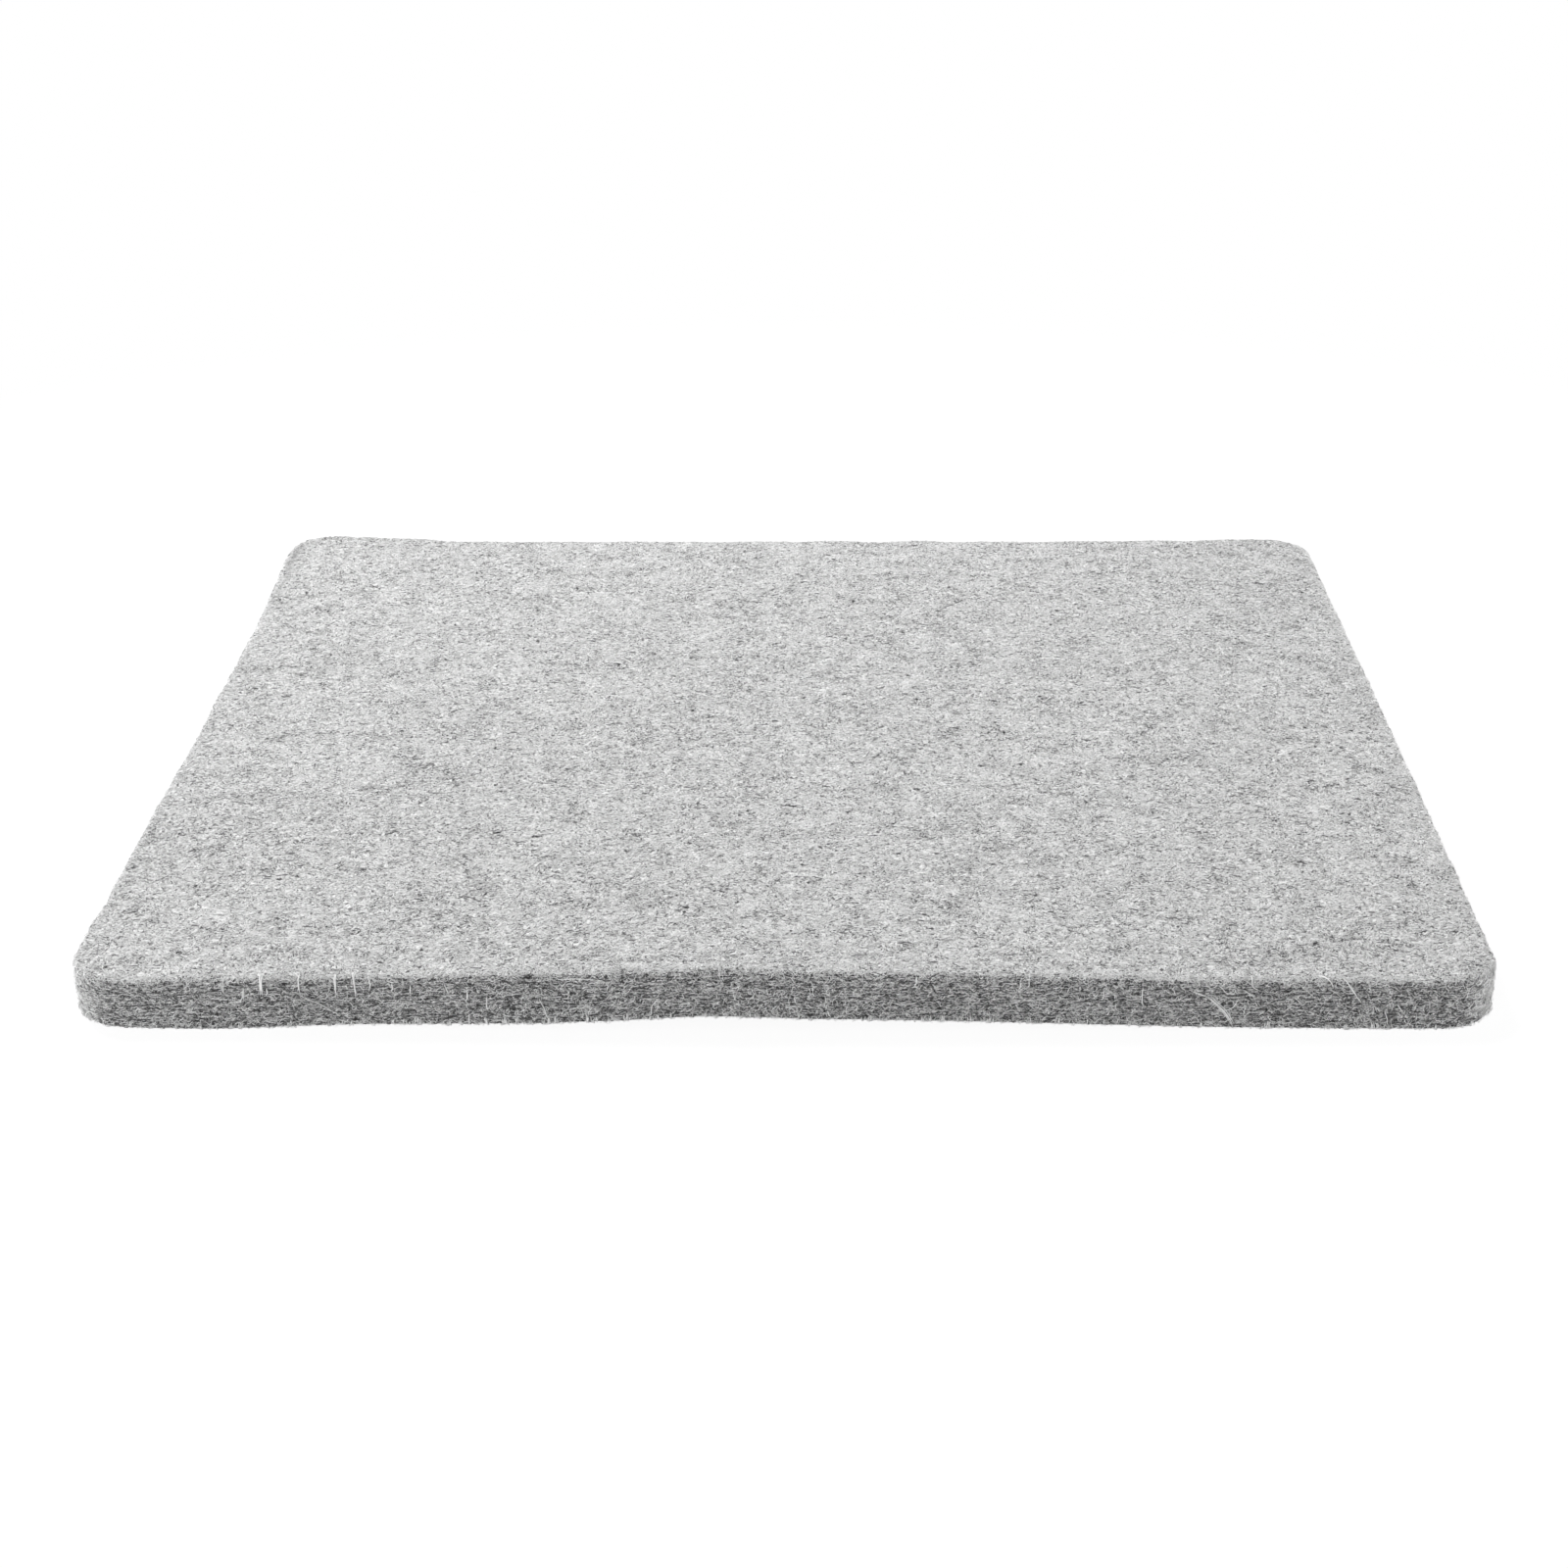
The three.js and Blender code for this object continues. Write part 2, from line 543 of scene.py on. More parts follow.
class FeltEffects:
    """The shader node groups that the felt's materials share, each built once."""

    strand_detail: float = 0.6
    strand_turns: int = 7
    strand_scatter: Range = (0.37, 5.0)
    strand_seeds: Range = (17.3, 5.1)
    curl_scale: float = 0.35
    curl_grain: Range = (2.0, 0.6)
    curl_reach: float = 6.0
    pale_clouds: float = 0.6
    dark_clouds: float = 1.5
    cloud_level: float = 0.1
    clump_edge: Range = (0.57, 0.70)
    fleck_turns: int = 3
    fleck_start: float = 0.3
    fleck_seeds: Range = (61.7, 2.9)
    fleck_gather: float = 0.3
    fleck_edge: Range = (1.05, 1.55)

    def __init__(self) -> None:
        """Build the groups."""
        self.strand = self.build_strand()
        self.fibres = self.build_fibres()
        self.heather = self.build_heather()
        self.flecks = self.build_flecks()

    def build_strand(self) -> bpy.types.NodeTree:
        """Build the group that draws fibres in one direction.

        Returns:
            The group, which puts out the fibres' ridges and their shades, both about 0.
        """
        sizes = {"Length": 6.0, "Width": 0.3, "Layer": 0.3}
        inputs = {"Vector": None, "Angle": 0.0, **sizes, "Seed": 0.0}
        w, given, result = new_group("Strand direction", inputs, ["Ridge", "Shade"])
        way = {key: given[key] for key in ("Vector", "Angle")}
        turned = w.add("ShaderNodeVectorRotate", way, rotation_type="Z_AXIS").outputs[0]
        scaled = w.vector("DIVIDE", turned, w.joined(*(given[key] for key in sizes)))
        moved = w.vector("ADD", scaled, w.joined(given["Seed"], given["Seed"]))
        colour = w.noise(moved, 1.0, self.strand_detail)[1]
        ridge, shade, _ = w.add("ShaderNodeSeparateColor", {0: colour}).outputs
        w.feed(result, {"Ridge": w.centred(ridge), "Shade": w.centred(shade)})
        return w.tree

    def build_fibres(self) -> bpy.types.NodeTree:
        """Build the group that lays wandering fibres in many directions, one over another.

        Returns:
            The group, which puts out the shade of the fibre that lies on top, and its height.
        """
        sizes = {"Length": 5.0, "Width": 0.3, "Layer": 0.3}
        inputs = {"Vector": None, **sizes, "Curl": 1.0}
        w, given, result = new_group("Felted fibres", inputs, ["Shade", "Height"])
        wander = w.noise(given["Vector"], self.curl_scale, *self.curl_grain)[1]
        centred = w.vector("SUBTRACT", wander, (0.5, 0.5, 0.5))
        offset = w.vector("MULTIPLY", centred, w.joined(given["Curl"], given["Curl"]))
        reach = (self.curl_reach, self.curl_reach, 0.0)
        way = {"Vector": w.vector("MULTIPLY_ADD", offset, reach, given["Vector"])}
        way.update({key: given[key] for key in sizes})
        amount, pace = self.strand_scatter
        step, first = self.strand_seeds
        height = shade = None
        for number in range(self.strand_turns):
            way["Angle"] = math.pi * (number + amount * math.sin(pace * number)) / self.strand_turns
            way["Seed"] = step * number + first
            ridge, own = w.group(self.strand, way)
            if height is None:
                height, shade = ridge, own
                continue
            shade = w.mix(w.math("GREATER_THAN", ridge, height), shade, own)
            height = w.math("MAXIMUM", height, ridge)
        w.feed(result, {"Shade": shade, "Height": height})
        return w.tree

    def build_heather(self) -> bpy.types.NodeTree:
        """Build the group that mixes the wool's shades in clouds and clumps.

        Returns:
            The group, which puts out clouds about 0, small clumps from 0 to 1, and broad drifts
            about 0.
        """
        inputs = {"Vector": None, "Cloud size": 8.0, "Clump size": 2.4, "Drift size": 55.0}
        grains = {"Cloud size": (2.5, 0.6), "Clump size": (2.0, 0.5), "Drift size": (2.0, 0.9)}
        w, given, result = new_group("Heather", inputs, ["Clouds", "Clumps", "Drifts"])
        clouds, clumps, drifts = (
            w.noise(given["Vector"], w.math("DIVIDE", 1.0, given[size]), *grain)[0]
            for size, grain in grains.items()
        )
        clouds = w.centred(clouds)
        pale = w.math("MULTIPLY", w.math("MAXIMUM", clouds, 0.0), self.pale_clouds)
        dark = w.math("MULTIPLY", w.math("MINIMUM", clouds, 0.0), self.dark_clouds)
        clouds = w.math("ADD", w.math("ADD", pale, dark), self.cloud_level)
        clumps = w.spread(clumps, self.clump_edge, (0.0, 1.0))
        w.feed(result, {"Clouds": clouds, "Clumps": clumps, "Drifts": w.centred(drifts)})
        return w.tree

    def build_flecks(self) -> bpy.types.NodeTree:
        """Build the group that scatters short dark flecks, most of them in the dark clouds.

        Returns:
            The group, which puts out 1 in a fleck and 0 outside.
        """
        inputs = {"Vector": None, "Clouds": 0.0, "Length": 1.8, "Width": 0.55}
        w, given, result = new_group("Dark flecks", inputs, ["Flecks"])
        way = {key: given[key] for key in ("Vector", "Length", "Width")}
        way["Layer"] = given["Width"]
        step, first = self.fleck_seeds
        highest = None
        for number in range(self.fleck_turns):
            way["Angle"] = math.pi * (number + self.fleck_start) / self.fleck_turns
            way["Seed"] = step * number + first
            ridge = w.group(self.strand, way)["Ridge"]
            highest = ridge if highest is None else w.math("MAXIMUM", highest, ridge)
        gathered = w.math("MULTIPLY_ADD", given["Clouds"], -self.fleck_gather, highest)
        w.feed(result, {"Flecks": w.spread(gathered, self.fleck_edge, (0.0, 1.0))})
        return w.tree


@dataclass(frozen=True)
class FeltShades:
    """How the greys of one kind of felt surface are mixed."""

    middle: float
    fibres: float
    # Painted shade between the fibres, where the top fibre lies low.
    painted_groove_shade: float
    clouds: float
    clumps: float
    flecks: float
    drifts: float
    gather: float
    layers: float = 0.0
    pale_share: float = 0.4
    groove_shade_level: float = 0.75
    darkest: float = 0.04
    palest: float = 0.95

    def mix(self, w: Wiring, marks: dict[str, bpy.types.NodeSocket]) -> bpy.types.NodeSocket:
        """Mix the grey of one kind of surface.

        Args:
            w: The material's wiring.
            marks: The top fibre's shade and height, and the clouds, clumps, drifts, flecks and
                layers of the felt.

        Returns:
            The grey level.
        """
        gathered = w.math("MULTIPLY_ADD", marks["clouds"], -self.gather, 1.0)
        darker = w.math("MULTIPLY", w.math("MINIMUM", marks["shade"], 0.0), gathered)
        paler = w.math("MULTIPLY", w.math("MAXIMUM", marks["shade"], 0.0), self.pale_share)
        level = w.math("MULTIPLY", w.math("ADD", darker, paler), self.fibres)
        level = w.math("ADD", level, self.middle)
        # Painted shade: the grey is darker where the top fibre lies low, between the fibres,
        # standing in for the shadows there.
        groove_shade_depth = w.math("MINIMUM", w.math("SUBTRACT", marks["height"], self.groove_shade_level), 0.0)
        level = w.math("MULTIPLY_ADD", groove_shade_depth, self.painted_groove_shade, level)
        weights = {"clouds": self.clouds, "clumps": -self.clumps, "drifts": self.drifts}
        weights.update({"flecks": -self.flecks, "layers": self.layers})
        for mark, weight in weights.items():
            if weight:
                level = w.math("MULTIPLY_ADD", marks[mark], weight, level)
        return w.math("MINIMUM", w.math("MAXIMUM", level, self.darkest), self.palest)


@dataclass(frozen=True)
class FeltFinish:
    """Grey heather felt: a pale pressed face and a darker cut side, in one material. The cut side
    is darker partly in its own colour and partly by painted shade.
    """

    name: str = "grey_heather_felt"
    fibre_length: float = 1.9
    fibre_width: float = 0.34
    layer: float = 0.30
    curl: float = 0.5
    face: FeltShades = FeltShades(
        middle=0.78, fibres=0.84, painted_groove_shade=0.40, clouds=0.06, clumps=0.11, flecks=0.50,
        drifts=0.03, gather=0.36,
    )
    # The cut side's greys are darker partly in the felt's own colour and partly as painted shade,
    # for the less light that falls on its upright walls.
    cut: FeltShades = FeltShades(
        middle=0.42, fibres=0.92, painted_groove_shade=0.55, clouds=0.01, clumps=0.04, flecks=0.12,
        drifts=0.01, gather=0.05, layers=0.46,
    )
    # Painted light: round the front corners the cut side's grey is mixed toward this pale level.
    painted_corner_light: float = 0.95
    corner_light_share: float = 0.35
    rim: Range = (0.42, 0.78)
    rim_wander: float = 0.16
    layer_length: float = 2.8
    layer_height: float = 0.28
    roughness: float = 0.92
    roughness_spread: float = 0.03
    specular: float = 0.2
    bump_height: float = 0.235

    def build(self, effects: FeltEffects) -> bpy.types.Material:
        """Make the material.

        Args:
            effects: The shared node groups.

        Returns:
            The material.
        """
        material, w, shader = new_material(self.name)
        place = w.place()
        sizes = {"Length": self.fibre_length, "Width": self.fibre_width, "Layer": self.layer}
        shade, height = w.group(effects.fibres, {"Vector": place, **sizes, "Curl": self.curl})
        clouds, clumps, drifts = w.group(effects.heather, {"Vector": place})
        marks = {"shade": shade, "height": height}
        marks.update({"clouds": clouds, "clumps": clumps, "drifts": drifts})
        marks["flecks"] = w.group(effects.flecks, {"Vector": place, "Clouds": clouds})["Flecks"]
        flat = (1 / self.layer_length, 1 / self.layer_length, 1 / self.layer_height)
        marks["layers"] = w.centred(w.noise(w.vector("MULTIPLY", place, flat), 1.0, 2.0)[0])
        # Painted shade in part: where the surface stands upright it takes the cut side's darker
        # greys.
        normal = w.add("ShaderNodeNewGeometry").outputs["Normal"]
        upright = w.math("ABSOLUTE", w.add("ShaderNodeSeparateXYZ", {0: normal}).outputs[2])
        for mark in (shade, clouds):
            upright = w.math("MULTIPLY_ADD", mark, self.rim_wander, upright)
        # Painted light: the front corners of the cut side are mixed toward a pale grey, as where
        # the side lamps fall on them.
        painted_corner_light = w.math("MULTIPLY", w.tone(), self.corner_light_share)
        cut = w.mix(painted_corner_light, self.cut.mix(w, marks), self.painted_corner_light)
        side = w.spread(upright, self.rim, (1.0, 0.0))
        level = w.mix(side, self.face.mix(w, marks), cut)
        colour = w.add("ShaderNodeCombineColor", {0: level, 1: level, 2: level})
        bump = {"Height": height, "Distance": self.bump_height * MM, "Strength": 1.0}
        finish = {
            "Base Color": colour.outputs[0],
            "Roughness": w.math("MULTIPLY_ADD", height, self.roughness_spread, self.roughness),
            "Normal": w.add("ShaderNodeBump", bump).outputs[0],
            "Specular IOR Level": self.specular,
        }
        w.feed(shader, finish)
        return material


@dataclass(frozen=True)
class FibreFinish:
    """Wool of one shade, a little different from fibre to fibre."""

    name: str
    darkest: float
    palest: float
    clouds: float = 0.25
    clumps: float = 0.2
    clump_size: float = 1.5
    roughness: float = 0.85
    roughness_spread: float = 0.1
    specular: float = 0.25

    def build(self, effects: FeltEffects) -> bpy.types.Material:
        """Make the material.

        Args:
            effects: The shared node groups.

        Returns:
            The material.
        """
        material, w, shader = new_material(self.name)
        given = {"Vector": w.place(), "Clump size": self.clump_size}
        clouds, clumps, _ = w.group(effects.heather, given)
        tone = w.tone()
        shade = w.math("MULTIPLY_ADD", clouds, self.clouds, tone)
        shade = w.math("MULTIPLY_ADD", clumps, -self.clumps, shade)
        share = w.spread(shade, (0.0, 1.0), (0.0, 1.0))
        shades = {0: share, 6: grey(self.darkest), 7: grey(self.palest)}
        finish = {
            "Base Color": w.add("ShaderNodeMix", shades, data_type="RGBA").outputs[2],
            "Roughness": w.math("MULTIPLY_ADD", tone, self.roughness_spread, self.roughness),
            "Specular IOR Level": self.specular,
        }
        w.feed(shader, finish)
        return material


def dress(piece: bpy.types.Object, material: bpy.types.Material) -> bpy.types.Object:
    """Give a piece its material and tie it to the CAD model's body.

    Args:
        piece: The piece.
        material: Its material.

    Returns:
        The piece.
    """
    piece.data.materials.append(material)
    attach(piece, ROOT_BODY)
    log.info("%s: %d faces", piece.name, len(piece.data.polygons))
    return piece


@dataclass(frozen=True)
class FeltSlab:
    """The slab itself, which replaces the CAD model's."""

    form: PadForm
    name: str = "felt_slab"
    corner_steps: int = 6
    straight_steps: int = 196
    arris_steps: int = 3
    side_steps: int = 7
    face_share: float = 0.68
    underside_share: float = 0.29
    map_gap: float = 0.008

    @property
    def across(self) -> int:
        """The faces across the slab."""
        return self.straight_steps + 2 * self.corner_steps

    @property
    def deep(self) -> int:
        """The faces from the underside to the upper face."""
        return 2 * self.arris_steps + self.side_steps

    def lines(self, half: np.ndarray, radius: np.ndarray, number: np.ndarray) -> np.ndarray:
        """Place the lines of the surface grid along one axis.

        Args:
            half: Half the side's length at each point.
            radius: The corner's radius at each point.
            number: The number of each point's line.

        Returns:
            The place of each point's line, from the middle.
        """
        from_end = np.minimum(number, self.across - number)
        inner = (half - radius) * (self.across - 2 * from_end) / self.straight_steps
        outer = half - radius * from_end / self.corner_steps
        place = np.where(from_end < self.corner_steps, outer, inner)
        return np.where(number < self.across / 2, -place, place)

    def grid(self) -> tuple[np.ndarray, np.ndarray, np.ndarray]:
        """Number the points of a box's surface grid and make its faces.

        Returns:
            The points' column, row and layer, the faces, and the faces' corners on the bake map.
        """
        across, deep, gap = self.across, self.deep, self.map_gap
        face, low = self.face_share, self.underside_share
        strip = (1 - face - (SIDES + 2) * gap) / SIDES
        windows = [(gap, gap, face - gap, face - gap), (face + gap, gap, low, low)]
        for number in range(SIDES):
            windows.append((gap, face + gap + number * (strip + gap), 1 - 2 * gap, strip))
        plates = [
            ((0, 1, 2), across, deep, 1),
            ((0, 1, 2), across, 0, -1),
            ((0, 2, 1), deep, 0, 1),
            ((0, 2, 1), deep, across, -1),
            ((1, 2, 0), deep, 0, -1),
            ((1, 2, 0), deep, across, 1),
        ]
        quads, charts = [], []
        for (axes, up, fixed, order), window in zip(plates, windows):
            u, v = np.meshgrid(np.arange(across), np.arange(up), indexing="ij")
            corners = np.array([(0, 0), (1, 0), (1, 1), (0, 1)])[::order]
            spots = np.stack([u.ravel(), v.ravel()], axis=-1)[:, None] + corners
            quad = np.full((across * up, 4, 3), fixed)
            quad[..., list(axes[:2])] = spots
            quads.append(quad)
            charts.append(np.array(window[:2]) + np.array(window[2:]) * spots / (across, up))
        every = np.concatenate(quads).reshape(-1, 3)
        numbered, back = np.unique(every, axis=0, return_inverse=True)
        return numbered, back.reshape(-1, 4), np.concatenate(charts)

    def mesh(self) -> bpy.types.Object:
        """Make the slab's mesh.

        Returns:
            The slab, not dressed.
        """
        form, fine = self.form, self.form.arris_radius
        numbered, faces, chart = self.grid()
        column, row, layer = numbered.T
        from_face = np.minimum(np.minimum(layer, self.deep - layer), self.arris_steps)
        turn = from_face / self.arris_steps * math.pi / 2
        inset = fine * (1 - np.sin(turn))
        radius = form.corner_radius - inset
        x = self.lines(form.width / 2 - inset, radius, column)
        y = self.lines(form.depth / 2 - inset, radius, row)
        straight_x = form.width / 2 - form.corner_radius
        straight_y = form.depth / 2 - form.corner_radius
        past = np.stack([np.abs(x) - straight_x, np.abs(y) - straight_y], axis=-1)
        folded = (past > TINY).all(axis=-1)
        past_x, past_y = np.where(folded[:, None], past, 1.0).T
        share = np.where(past_x >= past_y, past_y / past_x / 2, 1 - past_x / past_y / 2)
        reach = np.maximum(past_x, past_y)
        angle = share * math.pi / 2
        x = np.where(folded, np.sign(x) * (straight_x + reach * np.cos(angle)), x)
        y = np.where(folded, np.sign(y) * (straight_y + reach * np.sin(angle)), y)
        upper = layer > self.deep / 2
        off_face = fine * (1 - np.cos(turn))
        level = np.where(upper, form.thickness - off_face, off_face)
        between = (layer - self.arris_steps) / self.side_steps
        middle = (between >= 0) & (between <= 1)
        level = np.where(middle, fine + between * (form.thickness - 2 * fine), level)
        rim = np.isin(column, (0, self.across)) | np.isin(row, (0, self.across))
        plan = np.stack([x, y], axis=-1)
        _, steer = form.inside_by(plan)
        lean = np.where(rim, np.sin(turn), 0)
        vertical = np.where(upper, 1.0, -1.0) * np.sqrt(1 - lean**2)
        vertical = np.where(middle & rim, 0.0, vertical)
        outward = np.concatenate([steer * lean[:, None], vertical[:, None]], axis=-1)
        base = np.concatenate([plan, level[:, None]], axis=-1)
        points = form.raised(base, outward, np.zeros(len(base)))
        points[:, 2] = np.maximum(points[:, 2], 0)
        # The points' tone marks the front corners of the cut side, where the felt's material paints
        # light.
        painted_corner_light = form.cornering(plan) * rim
        return mesh_object(self.name, points, [faces], [chart], painted_corner_light)

    def build(self, felt: bpy.types.Material) -> bpy.types.Object:
        """Build and dress the slab.

        Args:
            felt: The felt's material.

        Returns:
            The dressed slab.
        """
        slab = dress(self.mesh(), felt)
        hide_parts(PAD_NODE)
        return slab


def stepped(points: int) -> Laid:
    """Share a path out from -0.5 to 0.5, and give its points and the middles of its steps."""
    share = np.linspace(-0.5, 0.5, points)
    return share, (share[1:] + share[:-1]) / 2


def curved(heading: np.ndarray, length: np.ndarray) -> np.ndarray:
    """Draw level paths about their own middles.

    Args:
        heading: The direction of each step of each path.
        length: The length of each path.

    Returns:
        The points (x, y) of the paths.
    """
    step = (length / heading.shape[1])[:, None, None]
    moves = np.stack([np.cos(heading), np.sin(heading)], axis=-1) * step
    paths = np.concatenate([np.zeros((len(moves), 1, 2)), np.cumsum(moves, axis=1)], axis=1)
    return paths - paths.mean(axis=1, keepdims=True)


class Zone(Enum):
    """Where a layer of fibres lies."""

    FACE = "face"
    SIDE = "side"
    EDGE = "edge"
    UNDERSIDE = "underside"


@dataclass(frozen=True)
class FibreLayer:
    """Loose wool fibres of one shade on one zone of the slab, all in one mesh."""

    name: str
    zone: Zone
    seed: int
    count: int
    shortest: float
    longest: float
    thinnest: float
    thickest: float
    short_bias: float = 1.6
    curl: float = 1.2
    wave: float = 0.5
    waves: float = 1.3
    lowest: float = 0.02
    highest: float = 0.30
    arch: float = 2.5
    sunk_ends: float = 0.15
    free_ends: float = 0.1
    free_height: float = 0.6
    free_least: float = 0.3
    free_rise: float = 0.8
    clustering: float = 0.0
    cluster_size: float = 9.0
    cluster_seed: int = 100
    flat_spread: float = 0.45
    tangle: float = 0.45
    tangle_height: float = 1.3
    tangles: Ripple = Ripple(seed=9, shortest=25.0, longest=120.0, height=0.56)
    bottom: float = 0.4
    below_top: float = 0.2
    off_table: float = 0.15
    edge_reach: Range = (-2.2, 0.9)
    face_inset: float = 0.4
    at_corners: float = 1.0
    points: int = 6

    def build(self, form: PadForm, wool: bpy.types.Material) -> bpy.types.Object:
        """Lay the fibres and dress them.

        Args:
            form: The slab's form.
            wool: The wool's material.

        Returns:
            The dressed piece.
        """
        rng = np.random.default_rng(self.seed)
        local, lift = self.wander(rng)
        lay = self.lay_on_side if self.zone is Zone.SIDE else self.lay_on_face
        laid = lay(rng, form, local, lift)
        radii = rng.uniform(self.thinnest, self.thickest, self.count)
        return dress(tubes(self.name, *laid, radii, rng.uniform(0, 1, self.count)), wool)

    def wander(self, rng: np.random.Generator) -> Laid:
        """Draw the fibres' curved paths about their own middles.

        Args:
            rng: The layer's random numbers.

        Returns:
            The paths (x, y), and how far their points stand off the skin.
        """
        share, between = stepped(self.points)
        column = (self.count, 1)
        length = rng.uniform(0, 1, self.count) ** self.short_bias
        length = self.shortest + (self.longest - self.shortest) * length
        if self.zone is Zone.SIDE:
            heading = rng.normal(0, self.flat_spread, column) + np.pi * rng.integers(0, 2, column)
        else:
            heading = rng.uniform(0, 2 * np.pi, column)
        heading = heading + rng.normal(0, self.curl, column) * between
        phase = rng.uniform(0, 2 * np.pi, column)
        heading = heading + self.wave * np.sin(2 * np.pi * between * self.waves + phase)
        top = rng.uniform(self.lowest, self.highest, column)
        lift = (top + self.sunk_ends) * (1 - np.abs(2 * share) ** self.arch) - self.sunk_ends
        free = rng.uniform(0, 1, column) < self.free_ends
        height = rng.uniform(self.free_least, 1, column) * self.free_height
        risen = -self.sunk_ends + (height + self.sunk_ends) * (share + 0.5) ** self.free_rise
        return curved(heading, length), np.where(free, risen, lift)

    def chosen(self, rng: np.random.Generator, places: np.ndarray, ok: np.ndarray) -> np.ndarray:
        """Pick places at random, with more of them where the wool's shade gathers.

        Args:
            rng: The layer's random numbers.
            places: Candidate places (x, y, z).
            ok: How readily each of them is used, from 0 for never.

        Returns:
            The numbers of the picked places.
        """
        size = self.cluster_size
        seed = self.seed + self.cluster_seed
        gather = Ripple(seed, shortest=size / 2, longest=size * 2, height=1.0, waves=70)
        weight = np.exp(self.clustering * gather.at(places)) * ok
        return rng.choice(len(places), self.count, replace=False, p=weight / weight.sum())

    def lay_on_face(
        self, rng: np.random.Generator, form: PadForm, local: np.ndarray, lift: np.ndarray
    ) -> Laid:
        """Lay the fibres on a face, or along its edge.

        Args:
            rng: The layer's random numbers.
            form: The slab's form.
            local: The fibres' paths about their middles.
            lift: How far their points stand off the skin.

        Returns:
            The paths and the outward directions along them.
        """
        tries = CANDIDATES * self.count
        if self.zone is Zone.EDGE:
            outline, steer = form.outline(rng.uniform(0, form.perimeter, tries))
            plan = outline + steer * rng.uniform(*self.edge_reach, tries)[:, None]
            ok = np.ones(tries, bool)
        else:
            plan = rng.uniform(-1, 1, (tries, 2)) * (form.width / 2, form.depth / 2)
            ok = form.inside_by(plan)[0] > self.face_inset
        places = np.concatenate([plan, np.full((tries, 1), form.thickness)], axis=-1)
        middle = plan[self.chosen(rng, places, ok)]
        return form.over_face(middle[:, None] + local, lift, self.zone is not Zone.UNDERSIDE)

    def lay_on_side(
        self, rng: np.random.Generator, form: PadForm, local: np.ndarray, lift: np.ndarray
    ) -> Laid:
        """Lay the fibres on the cut side: level in its upper half, and in a tangle below.

        Args:
            rng: The layer's random numbers.
            form: The slab's form.
            local: The fibres' paths about their middles.
            lift: How far their points stand off the skin.

        Returns:
            The paths and the outward directions along them.
        """
        tries = CANDIDATES * self.count
        run = rng.uniform(0, form.perimeter, tries)
        level = rng.uniform(self.bottom, form.thickness - self.below_top, tries)
        outline = form.outline(run)[0]
        places = np.concatenate([outline, level[:, None]], axis=-1)
        readiness = 1 + (self.at_corners - 1) * form.cornering(outline)
        picked = self.chosen(rng, places, readiness)
        run, level = run[picked, None], level[picked, None]
        tangle = self.tangle * (self.tangle_height - level / form.thickness)
        tangle = tangle * np.exp(self.tangles.at(places[picked]))[:, None]
        turn = rng.normal(0, 1, (self.count, 1)) * tangle
        run = run + local[..., 0] * np.cos(turn) - local[..., 1] * np.sin(turn)
        level = level + local[..., 0] * np.sin(turn) + local[..., 1] * np.cos(turn)
        return form.on_side(run, np.maximum(level, self.off_table), lift)


def tubes(
    name: str, paths: np.ndarray, outward: np.ndarray, radii: np.ndarray, tones: np.ndarray
) -> bpy.types.Object:
    """Make closed tapering tubes along paths, each with its own cell on the bake map.

    Args:
        name: The piece's name.
        paths: The tubes' centre lines.
        outward: The outward directions of the skin along them.
        radii: The tubes' radii.
        tones: A number from 0 to 1 for each tube.

    Returns:
        The object that holds all the tubes.
    """
    count, sides, rings = len(paths), TUBE_SIDES, paths.shape[1] - 2
    paths = paths.copy()
    paths[..., 2] = np.maximum(paths[..., 2], radii[:, None])
    along = unit(np.gradient(paths, axis=1))
    across = unit(np.cross(along, outward))
    above = np.cross(across, along)[:, 1:-1, None]
    turn = (np.pi / 2 + 2 * np.pi * np.arange(sides) / sides)[:, None]
    ring = across[:, 1:-1, None] * np.cos(turn) + above * np.sin(turn)
    thick = radii[:, None] * np.array([TUBE_END, *[1.0] * (rings - 2), TUBE_END])
    rim = paths[:, 1:-1, None] + ring * thick[..., None, None]
    points = np.concatenate([paths[:, :1], rim.reshape(count, -1, 3), paths[:, -1:]], axis=1)
    size = rings * sides + 2
    quads, quad_maps, tips, tip_maps = [], [], [], []
    last = size - 1 - sides
    for side in range(sides):
        after = (side + 1) % sides
        tips += [[0, 1 + side, 1 + after], [last + side, size - 1, last + after]]
        tip_maps.append([(0, side + 0.5), (1, side), (1, side + 1)])
        tip_maps.append([(rings, side), (rings + 1, side + 0.5), (rings, side + 1)])
    for place in range(1, rings):
        here, there = 1 + (place - 1) * sides, 1 + place * sides
        for side in range(sides):
            after = (side + 1) % sides
            quads.append([here + side, there + side, there + after, here + after])
            quad_maps.append(
                [(place, side), (place + 1, side), (place + 1, side + 1), (place, side + 1)]
            )
    first = (np.arange(count) * size)[:, None, None]
    cells = math.ceil(math.sqrt(count))
    cell = np.stack([np.arange(count) % cells, np.arange(count) // cells], axis=-1)
    scale = (1 - 2 * TUBE_MARGIN) / np.array([rings + 1, sides])
    polygons, maps = [], []
    for faces, chart in ((tips, tip_maps), (quads, quad_maps)):
        faces, chart = np.array(faces), np.array(chart, float)
        polygons.append((faces + first).reshape(-1, faces.shape[1]))
        spots = cell[:, None, None] + TUBE_MARGIN + chart * scale
        maps.append((spots / cells).reshape(-1, faces.shape[1], 2))
    return mesh_object(name, points.reshape(-1, 3), polygons, maps, np.repeat(tones, size))


@dataclass(frozen=True)
class Tuft:
    """One pale tuft that a felting needle drew down the cut side of the front."""

    place: float
    top: float
    foot: float
    strands: int
    width: float = 0.09


